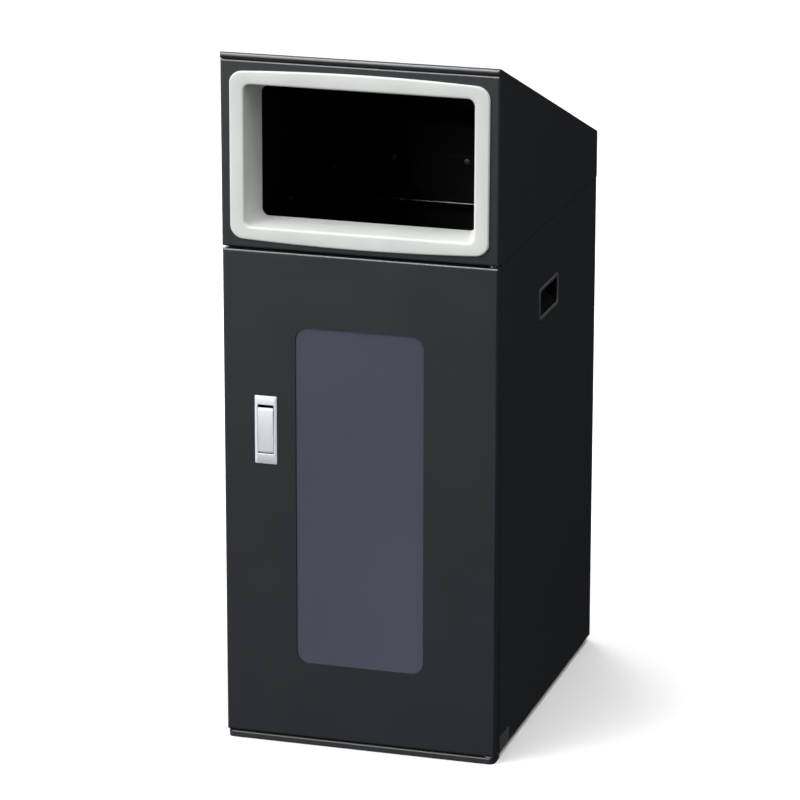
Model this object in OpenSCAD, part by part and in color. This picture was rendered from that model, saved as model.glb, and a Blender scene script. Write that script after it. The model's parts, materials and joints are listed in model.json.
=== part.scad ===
// Indoor waste bin: a folded steel cabinet with a sloping hood, a moulded collar round the
// waste opening, a hinged door with a window, and a wire ring that holds the bag inside.
// Millimetres. +X runs right along the front, +Y runs to the back, +Z is up. The floor is Z = 0
// and the origin lies under the middle of the object.

/* [Cabinet] */
// Width across the side panels
body_w = 350; // [345:1:380]
// Depth from the door's face to the back panel
body_d = 480; // [470:5:520]
// Height of the joint between the cabinet and the hood
seam_z = 639; // [630:1:660]
// Height of the side panels' lower edges
side_z = 8; // [8:1:12]
// Thickness of the steel sheet
sheet = 1.2; // [1:0.1:1.4]
// Outer radius of the folds in the sheet
fold_r = 2.4; // [2:0.1:3]
// Width of the folded flanges on the side panels
flange_w = 14; // [13:0.5:15]

/* [Hood] */
// Height of the hood's front edge
total_h = 880; // [875:1:900]
// Height at which the roof's line meets the back
rear_h = 700; // [690:1:720]
// Radius of the roof's rolled nose
nose_r = 4; // [4:0.5:6]

/* [Waste opening] */
// Width of the collar
collar_w = 327; // [320:1:330]
// Height of the collar at its corners
collar_h = 208.4; // [200:0.2:212]
// Rise of the collar's bowed top and bottom edges
collar_bow = 3.8; // [1:0.1:4]
// Height of the collar's middle above the floor
collar_z = 754.2; // [752:0.1:757]
// How far the collar stands proud of the hood
collar_proud = 3; // [2:0.5:4]
// Width of the opening at the hood's face
throat_w = 288; // [270:1:290]
// Height of the opening at the hood's face
throat_h = 175; // [160:1:176]
// Depth of the throat behind the hood's face
throat_d = 42; // [30:1:45]

/* [Door] */
// Height of the door's lower edge
door_z = 10; // [10:0.5:14]
// Thickness of the door
door_d = 18; // [16:1:20]
// Width of the window
window_w = 164; // [140:1:168]
// Height of the window
window_h = 434; // [300:1:440]
// Height of the window's middle above the floor
window_z = 326.2; // [300:0.2:330]
// Radius of the window's corners
window_r = 16; // [10:1:20]

/* [Latch] */
// Distance of the latch from the cabinet's centre plane
latch_x = 120; // [118:0.5:130]
// Height of the latch plate's middle above the floor
latch_z = 409; // [200:1:500]
// Width of the latch plate
plate_w = 28.5; // [28:0.5:30]
// Height of the latch plate
plate_h = 87; // [85:1:92]

/* [Bag ring] */
// Width of the ring between the middles of its rods
ring_w = 234; // [220:1:240]
// Length of the ring between the middles of its rods
ring_l = 373; // [360:1:376]
// Height of the ring
ring_z = 604; // [600:0.5:606]
// Diameter of the ring's rod
ring_rod = 6; // [5:0.5:7]

/* [Side grips] */
// Width of the grip's rim
grip_w = 92; // [80:1:110]
// Height of the grip's rim
grip_h = 42; // [38:1:50]
// Height of the grip's middle above the floor
grip_z = 540; // [500:1:550]
// Depth of the grip's pocket
grip_d = 34; // [25:1:36]

/* [Hidden] */
$fn = 48;
eps = 0.01;

// Whole frame
front_y = -(body_d + collar_proud) / 2 + collar_proud;
back_y = front_y + body_d;
half_w = body_w / 2;
web_x = half_w - sheet;

// Door and its hinge
door_gap = 2.9;
door_side_gap = 0.5;
door_top = seam_z - door_gap;
door_h = door_top - door_z;
door_w = body_w - 2 * door_side_gap;
door_clear = 3.2;
door_lip = 12;
door_back = front_y + door_d;
cab_front = door_back + door_clear;
pin_x = half_w - 8;
pin_y = front_y + 7;
pin_r = 3;
run_fit = 0.05;
bush_r = 5;
bush_h = 14;
washer_r = 6;
washer_h = 1.6;
pin_sunk = 6;
pin_end_gap = 4;
pin_head_r = 4.5;
pin_head_h = 0.8;
notch_play = 0.3;
cut = 1;
bracket_half = 5.5;
bracket_reach = 26;
bracket_rivet_ys = [8, 20];
bracket_play = 0.8;
notch_w = pin_x + bracket_half + notch_play - (half_w - flange_w) + cut;

// Rivets and screws
rivet_r = 2;
rivet_head_r = 3.4;
rivet_head = 1;
screw_r = 1.6;
screw_play = 0.1;
screw_head_r = 3;
screw_head_h = 1.8;
sink_r = 4;
sink_d = 4;
foot_screw_l = 8;

// Seam between the cabinet and the hood
shadow_gap = 0.4;
rail_leg = flange_w - sheet;
rail_front = cab_front + 4;
rail_back = back_y - 4;
bolt_r = 2.5;
bolt_ys = [-180, 0, 180];
bolt_inset = 8;
bolt_x = web_x - bolt_inset;
bolt_play = 0.1;
bolt_head_r = 4.2;
bolt_head_h = 3;
bolt_end = 2;
nut_r = 4.4;
nut_h = 4;
back_rivet_xs = [-100, 0, 100];
back_rivet_z = seam_z + 8;
back_rivet_head_r = 4;
back_rivet_head_h = 1.4;
back_rivet_draft = 1;

// Cabinet inside
sill_h = 14;
pan_front = cab_front + fold_r + 0.1;
pan_back = back_y - 2 * sheet;
back_top = seam_z + 15;
header_h = 28;
header_leg = 20;
rail_d = 32;
rail_end_r = 8;
rail_edge_r = 2;
rail_set_back = 0.5;
rail_side_gap = 1;
glide_r = 15;
glide_x = 130;
glide_y = 205;
glide_edge = 2;
glide_draft = 1;
kick_screw_xs = [-120, 0, 120];
kick_screw_y = cab_front + 6;

// Magnet catch on the header, and the strike on the door
catch_x = -110;
catch_w = 44;
catch_h = 14;
catch_d = 15;
catch_z = 625;
pole_proud = 1.5;
pole_t = 2.5;
pole_zs = [-4, 1.5];
pole_inset = 5;
window_margin = 3;
strike_w = 40;
strike_h = 12;
strike_t = 1.2;
strike_room = 8;
buffer_r = 4.5;
buffer_zs = [70, 560];
buffer_gap = 0.3;
buffer_draft = 0.5;

// Hood: the roof's outer line touches the nose and meets the back at rear_h
nose_proud = 1.5;
nose_y = front_y - nose_proud + nose_r;
nose_z = total_h - nose_r;
roof_run = back_y - nose_y;
roof_drop = nose_z - rear_h;
roof_a = atan(roof_drop / roof_run) + asin(nose_r / sqrt(roof_run * roof_run + roof_drop * roof_drop));
roof_fold_r = 6;
roof_leg = 12;
hood_z = seam_z + shadow_gap;
hood_return = 6.5;
nose_gap = 0.6;
roof_play = 0.02;
nose_steps = 36;
fold_steps = 8;
hood_front_top = total_h - 2 * nose_r - nose_gap;
roof_fold_y = back_y - roof_fold_r;
roof_fold_z = roof_top(roof_fold_y) - roof_fold_r / cos(roof_a);

// Collar
collar_r = 17;
collar_wall = 2.5;
throat_r = 9;
throat_taper_x = 8;
throat_taper_z = 4;
throat_drop = 5;
hole_play = 1;
hole_r = throat_r + collar_wall + hole_play / 2;
hole_w = throat_w + 2 * (collar_wall + hole_play);
hole_h = throat_h + 2 * (collar_wall + hole_play);
retainer_edge = 11;
retainer_r = 8;
collar_screw_r = 1.5;
collar_screw_l = 4.4;
collar_screw_end = 0.2;
collar_screw_head_r = 2.8;
collar_screw_edge = 5;
collar_screw_xs = [-120, 0, 120];
collar_screw_zs = [-55, 55];

// Window
pane_t = 3;
pane_lap = 10;
pane_r = 4;
frame_lap = 10;
frame_r = 6;
frame_t = 6;
frame_reveal = 2;
frame_play = 0.2;
pane_screw_zs = [-200, -100, 0, 100, 200];

// Latch
plate_t = 1.6;
plate_r = 1.2;
paddle_w = 19.6;
paddle_h = 58.8;
paddle_rise = 28.6;
paddle_top = latch_z + paddle_rise;
knuckle_r = 3.6;
paddle_pin_y = front_y - plate_t + knuckle_r;
paddle_pin_z = paddle_top - paddle_h + knuckle_r;
paddle_pin_r = 1.25;
paddle_gap = 0.5;
finger_gap = 3.6;
paddle_lift = 1.2;
paddle_t = 2.2;
paddle_foot = 0.4;
housing_w = 24.4;
housing_h = plate_h - 19;
housing_d = 16;
housing_wall = 1.2;
housing_play = 0.2;
latch_hole_r = 1;
latch_ear_h = 10;
latch_ear_t = 2;
spring_slot = 2;
spring_slot_h = 2.6;
spring_gap = 7;
spring_leg_l = 12;
spring_wire = 0.3;
spring_r = 1.9;
spring_w = 5;
latch_screw_dz = 38;
latch_screw_sunk = 1;

// Bag ring
ring_rod_r = ring_rod / 2;
ring_y = 186;
ring_front = ring_y - ring_l;
ring_corner = 20;
ring_boss = 3;
bracket_x = 70;
bracket_w = 8;
bracket_plate_w = 24;
bracket_plate_h = 28;
bracket_plate_t = 2;
rest_x = 60;
rest_w = 20;
rest_t = 2;
rest_gap = 0.2;
rest_past = 6;
rest_y = cab_front + fold_r;

// Side grips
grip_wall = 2;
grip_proud = 1.2;
grip_rim = 5;
grip_rim_r = 4;
grip_play = 0.3;
grip_end_h = 6;
grip_front_d = 2;
pocket_w = grip_w - 2 * grip_rim;
pocket_h = grip_h - 2 * grip_rim;
pocket_cut_w = pocket_w + 2 * (grip_wall + grip_play);
pocket_cut_h = pocket_h + 2 * (grip_wall + grip_play);

// Blank label
label_w = 42;
label_h = 18;
label_t = 0.4;
label_y = cab_front + 3;
label_z = side_z + 2;

// Height of the roof's outer surface at a depth y
function roof_top(y) = nose_z + nose_r / cos(roof_a) - (y - nose_y) * tan(roof_a);

// Points of an arc, in the plane of the drawing
function arc(cx, cy, r, a0, a1, n) =
    [for (i = [0:n]) let (a = a0 + (a1 - a0) * i / n) [cx + r * cos(a), cy + r * sin(a)]];

// Hole or shank of length l towards -Y, from the place's origin
module towards_front(l, r) {
    rotate([90, 0, 0]) cylinder(h = l, r = r);
}

// Rectangle with round corners, centred
module round_rect(w, h, r) {
    square([w - 2 * r, h], center = true);
    square([w, h - 2 * r], center = true);
    for (x = [-1, 1], y = [-1, 1])
        translate([x * (w / 2 - r), y * (h / 2 - r)]) circle(r);
}

// Rod of length l along X, centred
module rod_along_x(l, r) {
    rotate([0, 90, 0]) cylinder(h = l, r = r, center = true);
}

// Stands a drawing up in the XZ plane and gives it thickness t towards +Y
module upright(t) {
    translate([0, t, 0]) rotate([90, 0, 0]) linear_extrude(t) children();
}

// Turns a drawing of depth and height into a length l along +X
module along_x(l) {
    rotate([90, 0, 90]) linear_extrude(l) children();
}

// Block with round folds along all its edges but the mitres: X centred, Y and Z from 0
module fold_block(w, d, h, r) {
    intersection() {
        linear_extrude(h) translate([0, d / 2]) round_rect(w, d, r);
        translate([-w / 2, 0, 0]) along_x(w) translate([d / 2, h / 2]) round_rect(d, h, r);
    }
}

// Folded section with its web's outer face on X = 0 and two legs towards -X
module c_section(leg, span, r, t) {
    difference() {
        translate([-leg, 0]) round_rect(2 * leg, span, r);
        translate([-leg, 0]) round_rect(2 * (leg - t), span - 2 * t, r - t);
        translate([-3 * leg, -span]) square([2 * leg, 2 * span]);
    }
}

// Pocket of a hand grip, seen along the depth: u runs inwards and z upwards
module grip_section(extra) {
    polygon([
        [-extra, -pocket_h / 2 - extra],
        [-extra, pocket_h / 2 + extra],
        [grip_d + extra, pocket_h / 2 + extra],
        [grip_d + extra, pocket_h / 2 - grip_end_h],
        [grip_front_d + extra, -pocket_h / 2 - extra]
    ]);
}

module grip_prism(extra, w) {
    translate([0, w / 2, 0]) rotate([90, 0, 0]) linear_extrude(w) mirror([1, 0]) grip_section(extra);
}

// Outline of the collar: straight sides, round corners, bowed top and bottom
module collar_outline() {
    run = collar_w / 2 - collar_r;
    top = collar_h / 2;
    bow_steps = 12;
    upper = [for (i = [0:bow_steps]) let (x = -run + 2 * run * i / bow_steps)
        [x, top + collar_bow * (1 - x * x / (run * run))]];
    right = arc(run, top - collar_r, collar_r, 90, 0, fold_steps);
    right_low = arc(run, -top + collar_r, collar_r, 0, -90, fold_steps);
    lower = [for (p = upper) [-p[0], -p[1]]];
    left_low = arc(-run, -top + collar_r, collar_r, -90, -180, fold_steps);
    left = arc(-run, top - collar_r, collar_r, 180, 90, fold_steps);
    polygon(concat(upper, right, right_low, lower, left_low, left));
}

// Tapered throat, grown by extra all round, from y0 to y1 behind the hood's face. Its ceiling
// slopes down more than its floor slopes up.
module throat(extra, y0, y1) {
    hull()
        for (y = [y0, y1])
            translate([0, front_y + y, collar_z - throat_drop / 2 * y / throat_d])
                upright(eps)
                    round_rect(
                        throat_w + 2 * extra - 2 * throat_taper_x * y / throat_d,
                        throat_h + 2 * extra - (2 * throat_taper_z + throat_drop) * y / throat_d,
                        throat_r + extra);
}

// One side panel, drawn on the right
module side_panel() {
    difference() {
        translate([half_w, (cab_front + back_y) / 2, side_z])
            linear_extrude(seam_z - shadow_gap - side_z)
                c_section(flange_w, back_y - cab_front, fold_r, sheet);
        translate([web_x - cut, -pocket_cut_w / 2, grip_z - pocket_cut_h / 2])
            cube([sheet + 2 * cut, pocket_cut_w, pocket_cut_h]);
    }
}

module side_panel_left() {
    color("#1d2023") mirror([1, 0, 0]) side_panel();
}

// The right panel's front flange is notched for the upper hinge bracket
module side_panel_right() {
    color("#1d2023")
        difference() {
            side_panel();
            translate([half_w - flange_w - cut, cab_front - cut, seam_z - 2 * sheet - bracket_play])
                cube([notch_w, sheet + 2 * cut, 2 * sheet + bracket_play]);
        }
}

module back_panel() {
    color("#1d2023")
        difference() {
            translate([-web_x + sheet, back_y - 2 * sheet, door_z])
                cube([2 * (web_x - sheet), sheet, back_top - door_z]);
            back_rivet_holes();
        }
}

module back_rivet_places() {
    for (x = back_rivet_xs) translate([x, back_y, back_rivet_z]) children();
}

module back_rivet_holes() {
    back_rivet_places() translate([0, cut, 0]) towards_front(2 * sheet + 2 * cut, rivet_r);
}

module back_rivets() {
    color("#5b5e62")
        back_rivet_places() {
            towards_front(2 * sheet + rivet_head, rivet_r);
            translate([0, -2 * sheet, 0]) rotate([90, 0, 0])
                cylinder(
                    h = back_rivet_head_h,
                    r1 = back_rivet_head_r,
                    r2 = back_rivet_head_r - back_rivet_draft);
        }
}

module base_pan() {
    color("#1d2023")
        difference() {
            union() {
                translate([-web_x, pan_front, side_z]) cube([2 * web_x, pan_back - pan_front, sheet]);
                for (y = [pan_front, pan_back - sheet])
                    translate([-web_x, y, side_z]) cube([2 * web_x, sheet, sill_h]);
                for (x = [-web_x, web_x - sheet])
                    translate([x, pan_front, side_z]) cube([sheet, pan_back - pan_front, sill_h]);
            }
            kick_screw_places() foot_screw_hole();
            glide_places() foot_screw_hole();
        }
}

// Channel across the cabinet's front, just under the seam
module front_header() {
    color("#1d2023")
        difference() {
            translate([-half_w + flange_w, cab_front, seam_z - header_h / 2])
                rotate([0, 90, 0]) linear_extrude(body_w - 2 * flange_w)
                    rotate(-90) c_section(header_leg, header_h, fold_r, sheet);
            translate([catch_x - catch_w / 2 + window_margin, cab_front - cut, catch_z - catch_h / 2 + cut])
                cube([catch_w - 2 * window_margin, sheet + 2 * cut, catch_h - 2 * cut]);
        }
}

// Angles under the seam that stiffen the side panels and take the hood's bolts
module rail_pair() {
    for (s = [0, 1]) mirror([s, 0, 0])
        difference() {
            union() {
                translate([web_x - rail_leg, rail_front, -sheet])
                    cube([rail_leg, rail_back - rail_front, sheet]);
                translate([web_x - sheet, rail_front, -rail_leg])
                    cube([sheet, rail_back - rail_front, rail_leg]);
            }
            for (y = bolt_ys)
                translate([bolt_x, y, -sheet - cut]) cylinder(h = sheet + 2 * cut, r = bolt_r + bolt_play);
        }
}

module cabinet_rails() {
    color("#25282c")
        difference() {
            translate([0, 0, seam_z]) rail_pair();
            bracket_rivet_places() translate([0, 0, -cut]) cylinder(h = sheet + 2 * cut, r = rivet_r);
        }
}

module hood_rails() {
    color("#25282c") translate([0, 0, seam_z]) mirror([0, 0, 1]) rail_pair();
}

module hood_bolts() {
    color("#8c9096")
        for (x = [-bolt_x, bolt_x], y = bolt_ys)
            translate([x, y, seam_z - sheet - bolt_head_h]) {
                cylinder(h = bolt_head_h, r = bolt_head_r, $fn = 6);
                cylinder(h = bolt_head_h + 2 * sheet + nut_h + bolt_end, r = bolt_r);
            }
}

module hood_nuts() {
    color("#8c9096")
        for (x = [-bolt_x, bolt_x], y = bolt_ys)
            translate([x, y, seam_z + sheet])
                difference() {
                    cylinder(h = nut_h, r = nut_r, $fn = 6);
                    translate([0, 0, -cut]) cylinder(h = nut_h + 2 * cut, r = bolt_r + run_fit);
                }
}

module kick_screw_places() {
    for (x = kick_screw_xs) translate([x, kick_screw_y, side_z]) children();
}

module glide_places() {
    for (x = [-glide_x, glide_x]) translate([x, glide_y, side_z]) children();
}

// Screw that holds a foot to the base pan: its head lies in the counterbore
module foot_screw() {
    translate([0, 0, sink_d - side_z]) {
        cylinder(h = foot_screw_l, r = screw_r);
        translate([0, 0, -screw_head_h]) cylinder(h = screw_head_h, r = screw_head_r);
    }
}

// Hole for it through the foot and the pan, and the counterbore
module foot_screw_hole() {
    translate([0, 0, -side_z - cut]) {
        cylinder(h = side_z + sheet + 2 * cut, r = screw_r + screw_play);
        cylinder(h = sink_d + cut, r = sink_r);
    }
}

// Bar under the door, with round ends and a round upper edge
module kick_rail() {
    rail_y = front_y + rail_set_back;
    rail_w = body_w - 2 * rail_side_gap;
    color("#26292d")
        difference() {
            intersection() {
                linear_extrude(side_z)
                    translate([0, rail_y + rail_d / 2]) round_rect(rail_w, rail_d, rail_end_r);
                translate([-half_w, rail_y, -side_z]) along_x(body_w)
                    translate([rail_d / 2, side_z]) round_rect(rail_d, 2 * side_z, rail_edge_r);
            }
            translate([pin_x, pin_y, side_z - pin_sunk]) cylinder(h = pin_sunk + cut, r = pin_r);
            kick_screw_places() foot_screw_hole();
        }
}

module kick_rail_screws() {
    color("#5b5e62") kick_screw_places() foot_screw();
}

module rear_glides() {
    color("#17191b")
        glide_places()
            difference() {
                translate([0, 0, -side_z]) rotate_extrude() polygon([
                    [0, 0],
                    [glide_r - glide_edge, 0],
                    [glide_r, glide_edge],
                    [glide_r - glide_draft, side_z],
                    [0, side_z]
                ]);
                foot_screw_hole();
            }
}

module glide_screws() {
    color("#5b5e62") glide_places() foot_screw();
}

module bracket_rivet_places() {
    for (y = bracket_rivet_ys) translate([bolt_x, cab_front + y, seam_z - sheet]) children();
}

// Plate that carries the upper hinge pin out over the door
module hinge_bracket() {
    color("#2b2e33")
        difference() {
            translate([pin_x, pin_y, seam_z - 2 * sheet])
                linear_extrude(sheet) {
                    circle(bracket_half);
                    translate([-bracket_half, 0])
                        square([2 * bracket_half, cab_front + bracket_reach - pin_y]);
                }
            translate([pin_x, pin_y, seam_z - 2 * sheet - cut]) cylinder(h = sheet + 2 * cut, r = pin_r);
            bracket_rivet_places() translate([0, 0, -sheet - cut])
                cylinder(h = sheet + 2 * cut, r = rivet_r);
        }
}

module bracket_rivets() {
    color("#5b5e62")
        bracket_rivet_places()
            translate([0, 0, -sheet - rivet_head]) {
                cylinder(h = rivet_head, r = rivet_head_r);
                cylinder(h = rivet_head + 2 * sheet, r = rivet_r);
            }
}

// The upper pin has a head over its bracket; the lower pin stands in the kick rail
module hinge_pins() {
    color("#a7abb0") {
        translate([pin_x, pin_y, door_top - bush_h - pin_end_gap])
            cylinder(h = seam_z - sheet - door_top + bush_h + pin_end_gap, r = pin_r);
        translate([pin_x, pin_y, seam_z - sheet]) cylinder(h = pin_head_h, r = pin_head_r);
        translate([pin_x, pin_y, side_z - pin_sunk])
            cylinder(h = door_z - side_z + pin_sunk + bush_h + pin_end_gap, r = pin_r);
    }
}

module hinge_washer() {
    color("#8f8f89")
        translate([pin_x, pin_y, side_z])
            difference() {
                cylinder(h = washer_h, r = washer_r);
                translate([0, 0, -cut]) cylinder(h = washer_h + 2 * cut, r = pin_r + run_fit);
            }
}

module magnet_catch() {
    color("#33363a")
        translate([catch_x, cab_front + sheet, catch_z]) {
            translate([-catch_w / 2, 0, -catch_h / 2]) cube([catch_w, catch_d, catch_h]);
            for (z = pole_zs)
                translate([-catch_w / 2 + pole_inset, -sheet - pole_proud, z])
                    cube([catch_w - 2 * pole_inset, sheet + pole_proud + cut, pole_t]);
        }
}

// One grip, drawn on the right
module hand_grip() {
    translate([half_w, 0, grip_z])
        difference() {
            union() {
                rotate([90, 0, 90]) linear_extrude(grip_proud) round_rect(grip_w, grip_h, grip_rim_r);
                intersection() {
                    grip_prism(grip_wall, pocket_w + 2 * grip_wall);
                    translate([-2 * grip_d, -grip_w, -grip_h])
                        cube([2 * grip_d + grip_proud / 2, 2 * grip_w, 2 * grip_h]);
                }
            }
            grip_prism(0, pocket_w);
            translate([-eps, -pocket_w / 2, -pocket_h / 2]) cube([grip_proud + cut, pocket_w, pocket_h]);
        }
}

module hand_grip_left() {
    color("#141618") mirror([1, 0, 0]) hand_grip();
}

module hand_grip_right() {
    color("#141618") hand_grip();
}

// Two brackets on the back panel, each with a bore for the ring's rear rod
module ring_brackets() {
    reach = pan_back - ring_y;
    color("#33363a")
        for (x = [-bracket_x, bracket_x])
            translate([x, ring_y, ring_z])
                difference() {
                    union() {
                        rod_along_x(bracket_w, ring_rod_r + ring_boss);
                        translate([-bracket_w / 2, 0, -ring_boss]) cube([bracket_w, reach, 2 * ring_boss]);
                        translate([-bracket_plate_w / 2, reach - bracket_plate_t, -bracket_plate_h / 2])
                            cube([bracket_plate_w, bracket_plate_t, bracket_plate_h]);
                    }
                    rod_along_x(bracket_w + 2 * cut, ring_rod_r + run_fit);
                }
}

// Two brackets under the header on which the ring's front rod lies
module ring_rests() {
    shelf_z = ring_z - ring_rod_r - rest_gap - rest_t;
    top_z = seam_z - header_h;
    color("#33363a")
        for (x = [-rest_x, rest_x])
            translate([x - rest_w / 2, rest_y, 0]) {
                translate([0, 0, shelf_z]) cube([rest_w, ring_front - rest_y + rest_past, rest_t]);
                translate([0, 0, shelf_z]) cube([rest_w, rest_t, top_z - shelf_z]);
                translate([0, 0, top_z - rest_t]) cube([rest_w, cab_front + header_leg - rest_y, rest_t]);
            }
}

module blank_label() {
    color("#55585c")
        translate([half_w, label_y, label_z]) cube([label_t, label_w, label_h]);
}

// Holes through the hood's face and the retainer for the collar and its screws
module collar_holes() {
    translate([0, front_y - cut, collar_z])
        upright(2 * (sheet + cut)) round_rect(hole_w, hole_h, hole_r);
    collar_screw_places() translate([0, cut, 0])
        towards_front(2 * (sheet + cut), collar_screw_r + screw_play);
}

// Shallow tray that forms the hood's face, with a hole for the collar
module hood_front_panel() {
    h = hood_front_top - seam_z;
    block_d = 24;
    color("#2d3036")
        difference() {
            translate([0, front_y, seam_z]) fold_block(body_w, block_d, h, fold_r);
            translate([0, front_y + sheet, seam_z + sheet])
                fold_block(body_w - 2 * sheet, block_d, h - 2 * sheet, fold_r - sheet);
            translate([-body_w, front_y + hood_return, seam_z - cut])
                cube([2 * body_w, block_d, h + 2 * cut]);
            collar_holes();
        }
}

// One side of the hood, drawn on the right, cut to the roof's slope
module hood_side() {
    y0 = front_y + hood_return;
    y1 = back_y - sheet;
    under = sheet / cos(roof_a) + roof_play;
    translate([web_x, 0, 0]) along_x(sheet)
        difference() {
            polygon([
                [y0, hood_z], [y1, hood_z], [y1, roof_top(y1) - under], [y0, roof_top(y0) - under]
            ]);
            translate([nose_y, nose_z]) circle(nose_r + nose_gap / 2);
            translate([roof_fold_y, roof_fold_z])
                difference() {
                    square(roof_fold_r);
                    circle(roof_fold_r - sheet - roof_play);
                }
        }
}

module hood_side_left() {
    color("#1f2226") mirror([1, 0, 0]) hood_side();
}

module hood_side_right() {
    color("#1f2226") hood_side();
}

// Roof sheet: a rolled nose at the front, a slope, and a fold down at the back. Its front corners
// are round in plan, like the corners of the hood's face below it.
module hood_roof() {
    up = 90 - roof_a;
    round_nose = arc(nose_y, nose_z, nose_r, up, up + 360 - acos(1 - sheet / nose_r), nose_steps);
    inner_fold = arc(roof_fold_y, roof_fold_z, roof_fold_r - sheet, up, 0, fold_steps);
    leg_z = roof_fold_z - roof_leg;
    leg_end = [[back_y - sheet, leg_z], [back_y, leg_z]];
    outer_fold = arc(roof_fold_y, roof_fold_z, roof_fold_r, 0, up, fold_steps);
    nose_front = nose_y - nose_r;
    plan_d = back_y - nose_front + fold_r;
    color("#24272c")
        intersection() {
            translate([-half_w - cut, 0, 0]) along_x(body_w + 2 * cut)
                polygon(concat(round_nose, inner_fold, leg_end, outer_fold));
            translate([0, nose_front + plan_d / 2, 0]) linear_extrude(total_h + cut)
                round_rect(body_w, plan_d, fold_r);
        }
}

module hood_back() {
    color("#1f2226")
        difference() {
            translate([-half_w, back_y - sheet, hood_z])
                cube([body_w, sheet, roof_fold_z - roof_leg - hood_z]);
            back_rivet_holes();
        }
}

module collar_screw_places() {
    for (z = [-1, 1], x = collar_screw_xs)
        translate([x, front_y + 2 * sheet, collar_z + z * (hole_h / 2 + collar_screw_edge)]) children();
    for (x = [-1, 1], z = collar_screw_zs)
        translate([x * (hole_w / 2 + collar_screw_edge), front_y + 2 * sheet, collar_z + z]) children();
}

// Moulded ring: a proud flange on the hood's face and a tapered throat behind it
module opening_collar() {
    color("#d6dad5")
        difference() {
            union() {
                translate([0, front_y - collar_proud, collar_z]) upright(collar_proud) collar_outline();
                throat(collar_wall, 0, throat_d);
            }
            throat(0, -collar_proud - cut, throat_d + cut);
            collar_screw_places() towards_front(collar_screw_l + collar_screw_end, collar_screw_r);
        }
}

// Steel ring behind the hood's face that the collar is screwed to
module collar_retainer() {
    color("#33363a")
        difference() {
            translate([0, front_y + sheet, collar_z])
                upright(sheet)
                    round_rect(hole_w + 2 * retainer_edge, hole_h + 2 * retainer_edge, retainer_r);
            collar_holes();
        }
}

module collar_screws() {
    color("#8c9096")
        collar_screw_places() {
            towards_front(collar_screw_l, collar_screw_r);
            translate([0, screw_head_h, 0]) towards_front(screw_head_h, collar_screw_head_r);
        }
}

// Outer shape of the door, its edges rounded as the sheet is folded
module door_block() {
    translate([0, front_y, door_z]) fold_block(door_w, door_d, door_h, fold_r);
}

// Sheet frame that closes the door's edges at the back. Its upper side is taller than the others,
// because it carries the strike plate.
module door_back_frame() {
    color("#2b2e32")
        intersection() {
            door_block();
            translate([-half_w, door_back - sheet, 0])
                difference() {
                    cube([body_w, sheet, seam_z]);
                    translate([half_w - door_w / 2 + door_lip, -cut, door_z + door_lip])
                        cube([door_w - 2 * door_lip, sheet + 2 * cut, door_h - 2 * door_lip - strike_room]);
                }
        }
}

// Folded tray with an open back, a window hole and a hole for the latch
module door_panel() {
    color("#2b2e32")
        difference() {
            door_block();
            translate([0, front_y + sheet, door_z + sheet])
                fold_block(door_w - 2 * sheet, 2 * door_d, door_h - 2 * sheet, fold_r - sheet);
            translate([-half_w, door_back - sheet, 0]) cube([body_w, sheet + cut, seam_z]);
            translate([0, front_y - cut, window_z])
                upright(sheet + 2 * cut) round_rect(window_w, window_h, window_r);
            translate([-latch_x, front_y - cut, latch_z])
                upright(sheet + 2 * cut)
                    round_rect(housing_w + 2 * housing_play, housing_h + 2 * housing_play, latch_hole_r);
            for (z = [door_z, door_top - sheet])
                translate([pin_x, pin_y, z - cut]) cylinder(h = sheet + 2 * cut, r = bush_r);
            latch_screw_places() translate([0, sheet + cut, 0]) towards_front(sheet + 2 * cut, screw_r);
        }
}

module window_pane() {
    color("#4a4e5a", 0.6)
        translate([0, front_y + sheet, window_z])
            upright(pane_t) round_rect(window_w + 2 * pane_lap, window_h + 2 * pane_lap, pane_r);
}

module pane_screw_places() {
    edge = window_w / 2 + pane_lap + frame_lap / 2;
    for (x = [-edge, edge], z = pane_screw_zs)
        translate([x, front_y + sheet + frame_t, window_z + z]) children();
}

// Moulded frame behind the door's face, rebated for the pane
module pane_frame() {
    lap = pane_lap + frame_lap;
    rebate_w = window_w + 2 * (pane_lap + frame_play);
    rebate_h = window_h + 2 * (pane_lap + frame_play);
    color("#1a1c1f")
        translate([0, front_y + sheet, window_z])
            difference() {
                upright(frame_t) round_rect(window_w + 2 * lap, window_h + 2 * lap, frame_r);
                translate([0, -cut, 0])
                    upright(frame_t + 2 * cut)
                        round_rect(
                            window_w + 2 * frame_reveal,
                            window_h + 2 * frame_reveal,
                            window_r + frame_reveal);
                translate([0, -cut, 0]) upright(pane_t + cut) round_rect(rebate_w, rebate_h, pane_r);
                translate([0, -front_y - sheet, -window_z]) pane_screw_places()
                    translate([0, cut, 0]) towards_front(frame_t + 2 * cut, screw_r);
            }
}

module pane_screws() {
    color("#8c9096")
        pane_screw_places() {
            towards_front(frame_t, screw_r);
            translate([0, screw_head_h, 0]) towards_front(screw_head_h, screw_head_r);
        }
}

module door_bushes() {
    color("#8f8f89")
        for (z = [door_z, door_top - bush_h])
            translate([pin_x, pin_y, z])
                difference() {
                    cylinder(h = bush_h, r = bush_r);
                    translate([0, 0, -cut]) cylinder(h = bush_h + 2 * cut, r = pin_r + run_fit);
                }
}

module latch_screw_places() {
    for (z = [-latch_screw_dz, latch_screw_dz])
        translate([-latch_x, front_y, latch_z + z]) children();
}

module at_paddle_pin() {
    translate([-latch_x, paddle_pin_y, paddle_pin_z]) children();
}

// Opening in the plate for the paddle and for a finger above it
module latch_mouth(w) {
    low = paddle_pin_z - knuckle_r - paddle_gap;
    high = paddle_top + finger_gap;
    translate([-latch_x - w / 2, front_y - plate_t - cut, low]) cube([w, plate_t + 2 * cut, high - low]);
}

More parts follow.
